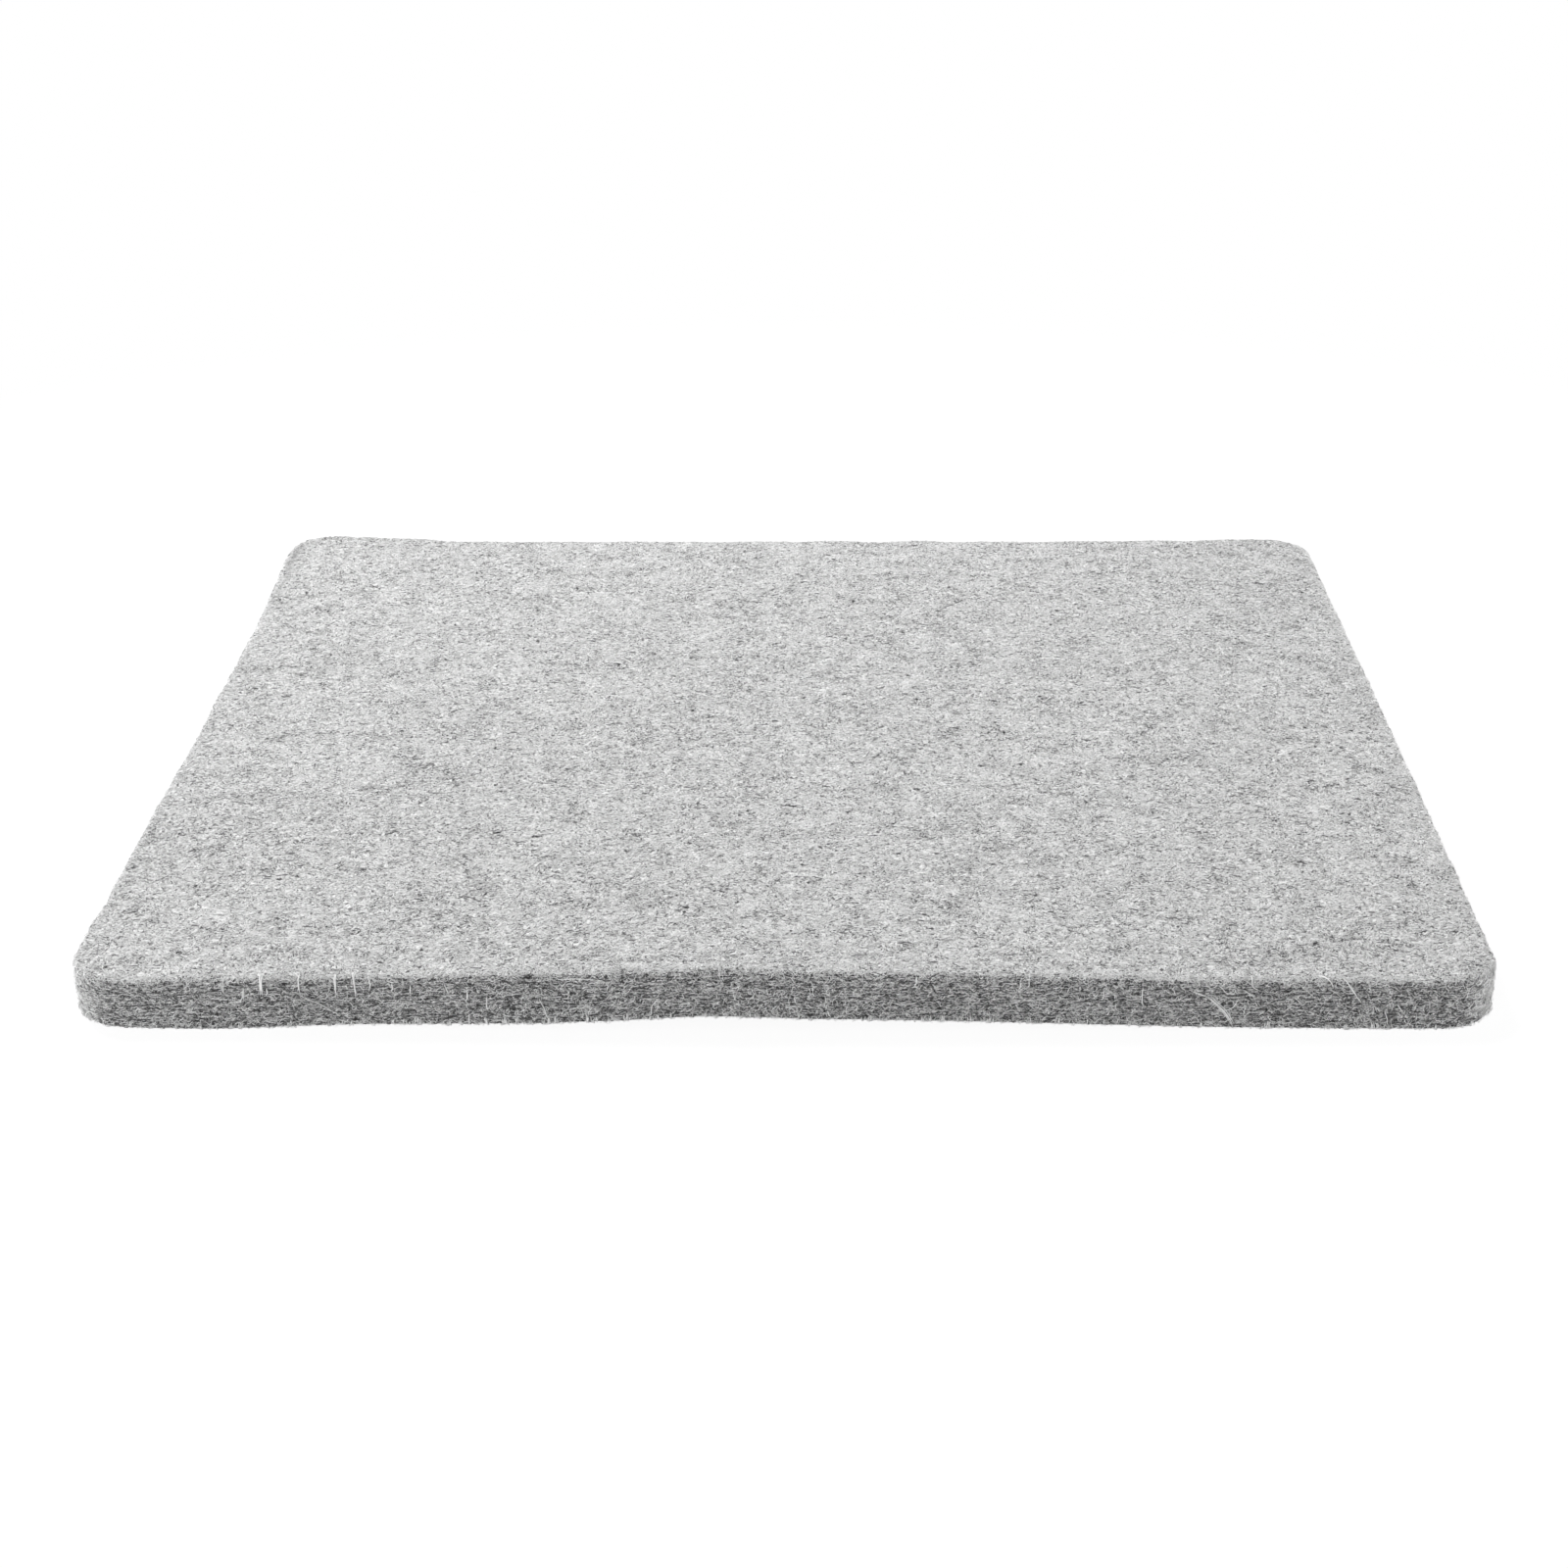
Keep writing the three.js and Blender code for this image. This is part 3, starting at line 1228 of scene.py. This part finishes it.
@dataclass(frozen=True)
class NeedleTufts:
    """The tufts that the felting needles drew, all round the pad."""

    name: str = "needle_tufts"
    seed: int = 41
    points: int = 8
    radius: float = 0.13
    thinner_thicker: Range = (0.7, 1.3)
    tones: Range = (0.45, 1.0)
    lift: Range = (0.08, 0.34)
    lift_vary: Range = (0.5, 1.2)
    lift_lean: float = 0.7
    uneven_top: Range = (-0.5, 0.5)
    uneven_foot: Range = (-0.25, 0.15)
    fan: float = 0.14
    fan_start: float = 1.2
    fan_end: float = 1.5
    sway: float = 0.10
    sways: Range = (0.6, 1.4)
    hook: float = 0.35
    hook_start: float = 0.7
    spacing: float = 9.0
    below_top: Range = (-1.4, 3.5)
    length: Range = (1.5, 4.2)
    strands: tuple[int, int] = (1, 4)
    foot_spacing: float = 5.0
    foot_top: Range = (1.0, 2.4)
    foot_end: float = 0.1
    foot_strands: tuple[int, int] = (2, 5)
    foot_width: float = 0.3
    clear: float = 20.0
    clear_corner: float = 25.0
    front: tuple[Tuft, ...] = (
        Tuft(-133.2, 13.4, 9.6, 2),
        Tuft(-128.4, 10.8, 7.8, 3, 0.15),
        Tuft(-124.0, 15.0, 9.1, 6, 0.16),
        Tuft(-122.5, 10.8, 8.9, 3),
        Tuft(-114.9, 14.6, 9.3, 4),
        Tuft(-106.2, 14.6, 8.9, 5),
        Tuft(-101.5, 14.8, 8.2, 5),
        Tuft(-97.7, 14.0, 10.0, 3),
        Tuft(-92.6, 11.2, 8.9, 2),
        Tuft(-88.2, 11.0, 8.3, 2),
        Tuft(-74.6, 9.6, 6.4, 2),
        Tuft(-70.1, 8.0, 3.6, 2),
        Tuft(-74.5, 2.8, 0.3, 2),
        Tuft(-14.3, 13.8, 10.0, 1),
    )
    feet: tuple[float, ...] = (
        -122.4, -117.7, -108.3, -93.2, -88.5, -70.3, -65.2, -59.5, -55.1, -46.1, -36.7, -31.0,
        144.5,
    )

    def all_round(self, rng: np.random.Generator, form: PadForm) -> list[Tuft]:
        """Draw the weaker tufts of the rest of the outline, and the short ones at its foot.

        Args:
            rng: The tufts' random numbers.
            form: The slab's form.

        Returns:
            The tufts, whose places are distances along the outline.
        """
        start = form.front_half
        tufts = [replace(tuft, place=tuft.place + start) for tuft in self.front]
        for run in form.strides(rng, self.spacing):
            top = form.thickness - rng.uniform(*self.below_top)
            foot = top - rng.uniform(*self.length)
            if 2 * start + self.clear < run < form.perimeter - self.clear_corner:
                tufts.append(Tuft(run, top, foot, rng.integers(*self.strands)))
        feet = [place + start for place in self.feet]
        feet += form.strides(rng, self.foot_spacing)
        for run in feet:
            top, count = rng.uniform(*self.foot_top), rng.integers(*self.foot_strands)
            tufts.append(Tuft(run, top, self.foot_end, count, self.foot_width))
        return tufts

    def build(self, form: PadForm, wool: bpy.types.Material) -> bpy.types.Object:
        """Draw the tufts and dress them.

        Args:
            form: The slab's form.
            wool: The wool's material.

        Returns:
            The dressed piece.
        """
        rng = np.random.default_rng(self.seed)
        strands = [tuft for tuft in self.all_round(rng, form) for _ in range(tuft.strands)]
        place, top, foot, width = (
            np.array([[getattr(strand, part)] for strand in strands])
            for part in ("place", "top", "foot", "width")
        )
        column = place.shape
        share = np.linspace(0, 1, self.points)
        top = top + rng.uniform(*self.uneven_top, column)
        foot = foot + (top - foot) * rng.uniform(*self.uneven_foot, column)
        level = top + (foot - top) * share
        over = np.clip(level - form.thickness + self.fan_start, 0, self.fan_end)
        aside = rng.normal(0, 1, column) * (width + self.fan * over)
        phase = rng.uniform(0, 2 * np.pi, column)
        sway = self.sway * np.sin(phase + 2 * np.pi * share * rng.uniform(*self.sways, column))
        hooked = np.maximum(share - self.hook_start, 0) / (1 - self.hook_start)
        hook = rng.normal(0, self.hook, column) * hooked
        low, high = self.lift
        arch = np.sin(np.pi * share**self.lift_lean)
        lift = low + high * arch * rng.uniform(*self.lift_vary, column)
        laid = form.on_side(place + aside + sway + hook, level, lift)
        radii = rng.uniform(*self.thinner_thicker, len(place)) * self.radius
        return dress(tubes(self.name, *laid, radii, rng.uniform(*self.tones, len(place))), wool)


@dataclass(frozen=True)
class Hair:
    """One stray fibre, or a bundle of them, that lies across the cut side of the front."""

    start: tuple[float, float]
    middle: tuple[float, float]
    end: tuple[float, float]
    strands: int = 1
    width: float = 0.0


@dataclass(frozen=True)
class StrayHairs:
    """The longer pale hairs that lie across the cut side."""

    name: str = "stray_hairs"
    seed: int = 43
    points: int = 14
    radius: float = 0.13
    thinner_thicker: Range = (0.85, 1.2)
    tones: Range = (0.7, 1.0)
    lift: Range = (0.12, 0.35)
    lift_vary: Range = (0.8, 1.3)
    others: int = 60
    lowest: float = 2.0
    across: Range = (-3.0, 3.0)
    down: tuple[Range, Range] = ((-3.0, 2.0), (-4.0, 2.0))
    limits: tuple[Range, Range] = ((0.8, 14.0), (0.5, 14.0))
    clear: float = 5.0
    wobble: float = 0.08
    wobbles: float = 9.0
    off_table: float = 0.15
    front: tuple[Hair, ...] = (
        Hair((-114.0, 8.0), (-110.5, 6.5), (-106.0, 3.5)),
        Hair((-80.0, 11.0), (-79.5, 9.5), (-79.0, 8.0)),
        Hair((-57.5, 7.0), (-56.5, 4.5), (-55.0, 0.5)),
        Hair((-53.0, 11.5), (-45.0, 11.7), (-41.5, 10.4)),
        Hair((-41.5, 10.4), (-41.0, 9.6), (-41.5, 8.5)),
        Hair((-46.5, 3.5), (-46.2, 2.2), (-45.8, 1.0)),
        Hair((-30.8, 1.5), (-30.6, 4.0), (-29.0, 6.0)),
        Hair((-27.1, 5.8), (-27.2, 4.9), (-26.7, 3.9)),
        Hair((-18.5, 7.8), (-17.2, 8.2), (-16.0, 8.5)),
        Hair((-11.5, 8.2), (-10.5, 8.5), (-9.3, 9.0), 2, 0.05),
        Hair((-11.0, 6.8), (-10.9, 5.8), (-10.6, 5.0)),
        Hair((-7.3, 5.3), (-6.7, 5.9), (-6.1, 6.3)),
        Hair((11.4, 3.0), (11.6, 2.2), (12.0, 1.4), 2, 0.05),
        Hair((27.0, 5.2), (30.0, 5.0), (33.0, 5.8)),
        Hair((32.4, 12.3), (32.3, 11.0), (32.0, 9.8), 2, 0.08),
        Hair((57.0, 11.5), (57.0, 10.3), (56.7, 9.2)),
        Hair((59.0, 13.3), (59.1, 11.6), (58.8, 9.8)),
        Hair((76.8, 10.0), (76.8, 8.5), (76.4, 7.0)),
        Hair((86.3, 10.7), (85.9, 8.4), (86.5, 5.3)),
        Hair((97.4, 10.1), (100.2, 9.2), (102.6, 7.9), 2, 0.10),
        Hair((101.8, 8.2), (104.8, 5.6), (107.9, 1.0), 5, 0.22),
        Hair((104.2, 5.4), (106.7, 5.5), (109.0, 8.3)),
        Hair((104.0, 11.7), (105.3, 10.4), (106.8, 9.3)),
        Hair((109.8, 10.6), (111.0, 9.9), (112.2, 9.2)),
        Hair((112.0, 14.8), (112.0, 11.8), (113.7, 10.5)),
        Hair((110.5, 7.0), (110.4, 5.4), (109.9, 3.8)),
        Hair((127.5, 15.0), (130.0, 12.9), (131.0, 11.3)),
        Hair((133.2, 14.0), (136.0, 10.3), (138.0, 7.3), 2, 0.04),
        Hair((143.5, 5.3), (144.2, 3.5), (144.4, 1.4)),
        Hair((146.6, 7.2), (147.2, 5.9), (148.2, 5.0)),
    )

    def elsewhere(self, rng: np.random.Generator, form: PadForm) -> np.ndarray:
        """Draw a few hairs for the rest of the outline.

        Args:
            rng: The hairs' random numbers.
            form: The slab's form.

        Returns:
            The start, middle and end of each: distances along the outline, and heights.
        """
        routes = []
        for _ in range(self.others):
            run = rng.uniform(2 * form.front_half + self.clear, form.perimeter - self.clear)
            level = rng.uniform(self.lowest, form.thickness)
            route = [(run, level)]
            for down, limits in zip(self.down, self.limits):
                run += rng.uniform(*self.across)
                level = np.clip(level + rng.uniform(*down), *limits)
                route.append((run, level))
            routes.append(route)
        return np.array(routes)

    def build(self, form: PadForm, wool: bpy.types.Material) -> bpy.types.Object:
        """Draw the hairs and dress them.

        Args:
            form: The slab's form.
            wool: The wool's material.

        Returns:
            The dressed piece.
        """
        rng = np.random.default_rng(self.seed)
        front = [hair for hair in self.front for _ in range(hair.strands)]
        routes = np.array([(hair.start, hair.middle, hair.end) for hair in front])
        routes = np.concatenate([routes + (form.front_half, 0), self.elsewhere(rng, form)])
        start, middle, end = (routes[:, None, number] for number in range(3))
        count = len(routes)
        share = np.linspace(0, 1, self.points)[:, None]
        bend = 2 * middle - (start + end) / 2
        route = (1 - share) ** 2 * start + 2 * share * (1 - share) * bend + share**2 * end
        width = np.array([hair.width for hair in front] + [0.0] * self.others)[:, None, None]
        shift = rng.normal(0, 1, (count, 1, 2)) * width
        phase = rng.uniform(0, 2 * np.pi, (count, 1, 2))
        route = route + shift + self.wobble * np.sin(phase + self.wobbles * share)
        low, high = self.lift
        vary = rng.uniform(*self.lift_vary, (count, 1))
        lift = low + high * np.sin(np.pi * share[:, 0]) * vary
        laid = form.on_side(route[..., 0], np.maximum(route[..., 1], self.off_table), lift)
        radii = rng.uniform(*self.thinner_thicker, count) * self.radius
        return dress(tubes(self.name, *laid, radii, rng.uniform(*self.tones, count)), wool)


@dataclass(frozen=True)
class Neps:
    """The small dark tangles of fibre that lie in the upper face."""

    name: str = "dark_neps"
    seed: int = 47
    others: int = 70
    fibres: int = 14
    longest: float = 1.1
    points: int = 6
    radius: float = 0.11
    thinner_thicker: Range = (0.8, 1.2)
    tones: Range = (0.0, 0.6)
    lengths: Range = (0.5, 1.2)
    sizes: Range = (0.3, 0.8)
    scatter: float = 0.5
    slant: float = 0.8
    curl: float = 2.5
    highest: float = 0.16
    off_edge: float = 6.0
    places: tuple[tuple[float, float, float, float], ...] = (
        (-66.0, -86.3, 1.5, 0.5),
        (-150.9, 19.7, 1.0, 0.6),
        (34.9, -52.8, 1.1, 0.6),
        (0.4, -64.4, 1.8, 0.5),
        (-77.0, -83.5, 0.9, 0.5),
        (165.2, -143.5, 1.0, 0.6),
    )

    def build(self, form: PadForm, wool: bpy.types.Material) -> bpy.types.Object:
        """Lay the tangles and dress them.

        Args:
            form: The slab's form.
            wool: The wool's material.

        Returns:
            The dressed piece.
        """
        rng = np.random.default_rng(self.seed)
        halves = np.array([form.width, form.depth]) / 2 - self.off_edge
        plan = rng.uniform(-1, 1, (self.others, 2)) * halves
        reach = rng.uniform(*self.sizes, (self.others, 2))
        places = np.concatenate([self.places, np.concatenate([plan, reach], axis=-1)])
        nep = np.repeat(places, self.fibres, axis=0)
        column = (len(nep), 1)
        middle = nep[:, :2] + rng.normal(0, self.scatter, (len(nep), 2)) * nep[:, 2:]
        share, between = stepped(self.points)
        heading = rng.normal(0, self.slant, column) + np.pi * rng.integers(0, 2, column)
        heading = heading + rng.normal(0, self.curl, column) * between
        length = self.longest * rng.uniform(*self.lengths, len(nep)) * np.sqrt(nep[:, 2])
        lift = rng.uniform(0.0, self.highest, column) * (1 - np.abs(2 * share) ** 2)
        laid = form.over_face(middle[:, None] + curved(heading, length), lift)
        radii = rng.uniform(*self.thinner_thicker, len(nep)) * self.radius
        return dress(tubes(self.name, *laid, radii, rng.uniform(*self.tones, len(nep))), wool)


@dataclass(frozen=True)
class Softbox:
    """A soft lamp: where it hangs, the point that it faces, its two sides and its watts."""

    name: str
    place: tuple[float, float, float]
    aim: tuple[float, float, float]
    sides: tuple[float, float]
    power: float

    def hang(self) -> bpy.types.Object:
        """Hang the lamp.

        Returns:
            The lamp.
        """
        data = bpy.data.lights.new(self.name, "AREA")
        data.shape = "RECTANGLE"
        data.size, data.size_y = (side * MM for side in self.sides)
        data.energy = self.power
        lamp = bpy.data.objects.new(self.name, data)
        start = Vector(self.place) * MM
        facing = (Vector(self.aim) * MM - start).to_track_quat("-Z", "Y")
        lamp.matrix_world = Matrix.Translation(start) @ facing.to_matrix().to_4x4()
        bpy.context.scene.collection.objects.link(lamp)
        return lamp


@dataclass(frozen=True)
class Studio:
    """A plain white ground, soft light from above and all sides, and the photograph's viewpoint."""

    camera_place: tuple[float, float, float] = (15.785, -815.190, 326.936)
    camera_pitch: float = 0.3886
    camera_yaw: float = -0.0225
    camera_roll: float = -0.008
    lens: float = 69.06
    sensor: float = 36.0
    clip: Range = (10.0, 50000.0)
    floor_half: float = 4000.0
    floor_bounce: float = 0.74
    floor_shown: float = 0.13
    floor_glow: float = 0.925
    shadow_fade: Range = (300.0, 550.0)
    sky: float = 0.27
    lamps: tuple[Softbox, ...] = (
        Softbox("key", (-600, 850, 1300), (0, 0, 0), (700, 700), 26.2),
        Softbox("front_fill", (-700, -1500, 270), (0, -100, 0), (900, 500), 12.5),
        Softbox("left", (-1300, 0, 140), (0, 0, 0), (900, 260), 7.0),
        Softbox("right", (1300, 0, 140), (0, 0, 0), (900, 260), 11.5),
    )

    def camera(self) -> bpy.types.Object:
        """Make the camera that the photograph was taken with.

        Returns:
            The camera.
        """
        cos_pitch, sin_pitch = math.cos(self.camera_pitch), math.sin(self.camera_pitch)
        cos_yaw, sin_yaw = math.cos(self.camera_yaw), math.sin(self.camera_yaw)
        cos_roll, sin_roll = math.cos(self.camera_roll), math.sin(self.camera_roll)
        forward = Vector((sin_yaw * cos_pitch, cos_yaw * cos_pitch, -sin_pitch))
        level_right = Vector((cos_yaw, -sin_yaw, 0.0))
        level_up = level_right.cross(forward)
        right = cos_roll * level_right + sin_roll * level_up
        up = cos_roll * level_up - sin_roll * level_right
        data = bpy.data.cameras.new("camera")
        data.lens = self.lens
        data.sensor_width = self.sensor
        data.clip_start, data.clip_end = (distance * MM for distance in self.clip)
        camera = bpy.data.objects.new("camera", data)
        turn = Matrix((right, up, -forward)).transposed().to_4x4()
        camera.matrix_world = Matrix.Translation(Vector(self.camera_place) * MM) @ turn
        bpy.context.scene.collection.objects.link(camera)
        bpy.context.scene.camera = camera
        return camera

    def seen_directly(self, w: Wiring) -> bpy.types.NodeSocket:
        """Tell the rays that show the background from those that light the object.

        Args:
            w: The wiring of the material or the world.

        Returns:
            1 for a ray from the camera, a reflection or a transmission, and 0 for others.
        """
        path = w.add("ShaderNodeLightPath").outputs
        seen = w.math("MAXIMUM", path["Is Camera Ray"], path["Is Glossy Ray"])
        return w.math("MAXIMUM", seen, path["Is Transmission Ray"])

    def floor(self) -> bpy.types.Object:
        """Lay the floor, which shows white but keeps the object's soft shadow.

        Returns:
            The floor.
        """
        corners = np.array([(0.0, 0.0), (1.0, 0.0), (1.0, 1.0), (0.0, 1.0)])
        points = np.zeros((4, 3))
        points[:, :2] = (2 * corners - 1) * self.floor_half
        faces = np.arange(4)[None]
        floor = mesh_object("floor", points, [faces], [corners[None]], np.full(4, 0.5))
        material, w, shader = new_material("studio_floor")
        w.tree.nodes.remove(shader)
        bounce = w.add("ShaderNodeBsdfDiffuse", {"Color": grey(self.floor_bounce)}).outputs[0]
        shown = w.add("ShaderNodeBsdfDiffuse", {"Color": grey(self.floor_shown)}).outputs[0]
        glow = w.add("ShaderNodeEmission", {"Strength": self.floor_glow}).outputs[0]
        near = w.add("ShaderNodeAddShader", {0: shown, 1: glow}).outputs[0]
        white = w.add("ShaderNodeEmission", {"Strength": 1.0}).outputs[0]
        place = w.add("ShaderNodeTexCoord").outputs["Object"]
        away = w.add("ShaderNodeVectorMath", {0: place}, operation="LENGTH").outputs["Value"]
        start, end = self.shadow_fade
        far = w.spread(away, (start * MM, end * MM), (0.0, 1.0))
        seen = w.add("ShaderNodeMixShader", {0: far, 1: near, 2: white}).outputs[0]
        surface = {0: self.seen_directly(w), 1: bounce, 2: seen}
        surface = w.add("ShaderNodeMixShader", surface).outputs[0]
        w.feed(w.tree.nodes["Material Output"], {"Surface": surface})
        floor.data.materials.append(material)
        return floor

    def sky_light(self) -> None:
        """Set the world: an even light, and white where it is seen."""
        world = bpy.data.worlds.new("studio")
        world.use_nodes = True
        bpy.context.scene.world = world
        w = Wiring(world.node_tree)
        strength = w.mix(self.seen_directly(w), self.sky, 1.0)
        w.feed(w.tree.nodes["Background"], {"Color": grey(1.0), "Strength": strength})

    def build(self) -> None:
        """Set up the whole studio."""
        bpy.context.scene.view_settings.view_transform = "Standard"
        self.camera()
        self.floor()
        self.sky_light()
        for lamp in self.lamps:
            lamp.hang()
        log.info("studio: camera, floor and lamps")


PALE_LAYERS = (
    FibreLayer("face_nap_pale", Zone.FACE, 21, 8000, 2.0, 7.0, 0.06, 0.105, clustering=0.3),
    FibreLayer(
        "face_specks_pale", Zone.FACE, 31, 3000, 0.7, 2.2, 0.07, 0.10,
        curl=2.0, lowest=0.05, free_ends=0.2, clustering=0.3, cluster_size=5.0,
    ),
    FibreLayer(
        "side_fibres_pale", Zone.SIDE, 23, 7000, 1.5, 5.0, 0.07, 0.12,
        curl=2.2, highest=0.28, free_ends=0.15, free_height=0.5, at_corners=0.7,
    ),
    FibreLayer(
        "edge_fuzz", Zone.EDGE, 25, 6500, 0.8, 3.2, 0.06, 0.10,
        curl=2.0, highest=0.25, free_ends=0.3, free_height=0.5,
    ),
    FibreLayer(
        "underside_nap", Zone.UNDERSIDE, 26, 4000, 2.0, 7.0, 0.06, 0.09,
        lowest=0.0, highest=0.05, free_ends=0.0,
    ),
)
DARK_LAYERS = (
    FibreLayer(
        "face_nap_dark", Zone.FACE, 22, 7000, 1.0, 4.5, 0.07, 0.12,
        highest=0.12, free_ends=0.0, clustering=0.8, cluster_size=5.0,
    ),
    FibreLayer(
        "face_specks_dark", Zone.FACE, 32, 8000, 0.6, 1.7, 0.10, 0.15,
        curl=2.0, highest=0.10, free_ends=0.0, clustering=1.6, cluster_size=4.0,
    ),
    FibreLayer(
        "side_fibres_dark", Zone.SIDE, 24, 7000, 0.9, 3.2, 0.10, 0.14,
        highest=0.15, free_ends=0.0, clustering=0.1, cluster_size=5.0, flat_spread=0.15,
        # Few dark fibres round the front corners, whose wall is painted lighter.
        at_corners=0.1,
    ),
)
BRIGHT_LAYERS = (
    FibreLayer(
        "side_curls", Zone.SIDE, 27, 8200, 0.8, 3.0, 0.10, 0.15,
        curl=2.6, wave=0.8, lowest=0.12, highest=0.42, free_ends=0.2, free_height=0.6,
        flat_spread=0.35, at_corners=0.3,
    ),
    FibreLayer(
        "foot_fuzz", Zone.SIDE, 28, 2600, 0.8, 2.6, 0.06, 0.10,
        curl=2.5, highest=0.40, free_ends=0.5, free_height=0.8, flat_spread=0.8,
        bottom=0.1, below_top=11.6,
    ),
)


def pad_form() -> PadForm:
    """Read the slab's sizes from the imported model.

    Returns:
        The form, with its width and depth from the CAD node and its thickness from a mount.
    """
    low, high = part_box(PAD_NODE)
    face = next(m for m in frame["record"]["mounts"] if m["name"] == "pressing_face")
    return PadForm(
        width=(high.x - low.x) / MM,
        depth=(high.y - low.y) / MM,
        thickness=face["pos_m"][2] / MM,
    )


def main() -> None:
    """Build the pad and its studio, and report each piece."""
    logging.basicConfig(level=logging.INFO, format="%(name)s: %(message)s")
    form = pad_form()
    effects = FeltEffects()
    felt = FeltFinish().build(effects)
    pale = FibreFinish(name="pale_wool", darkest=0.68, palest=0.95).build(effects)
    bright = FibreFinish(name="white_wool", darkest=0.80, palest=0.96).build(effects)
    dark = FibreFinish(name="dark_wool", darkest=0.05, palest=0.26).build(effects)
    FeltSlab(form).build(felt)
    NeedleTufts().build(form, bright)
    StrayHairs().build(form, bright)
    Neps().build(form, dark)
    for layers, wool in ((PALE_LAYERS, pale), (DARK_LAYERS, dark), (BRIGHT_LAYERS, bright)):
        for layer in layers:
            layer.build(form, wool)
    Studio().build()


if __name__ == "__main__":
    main()
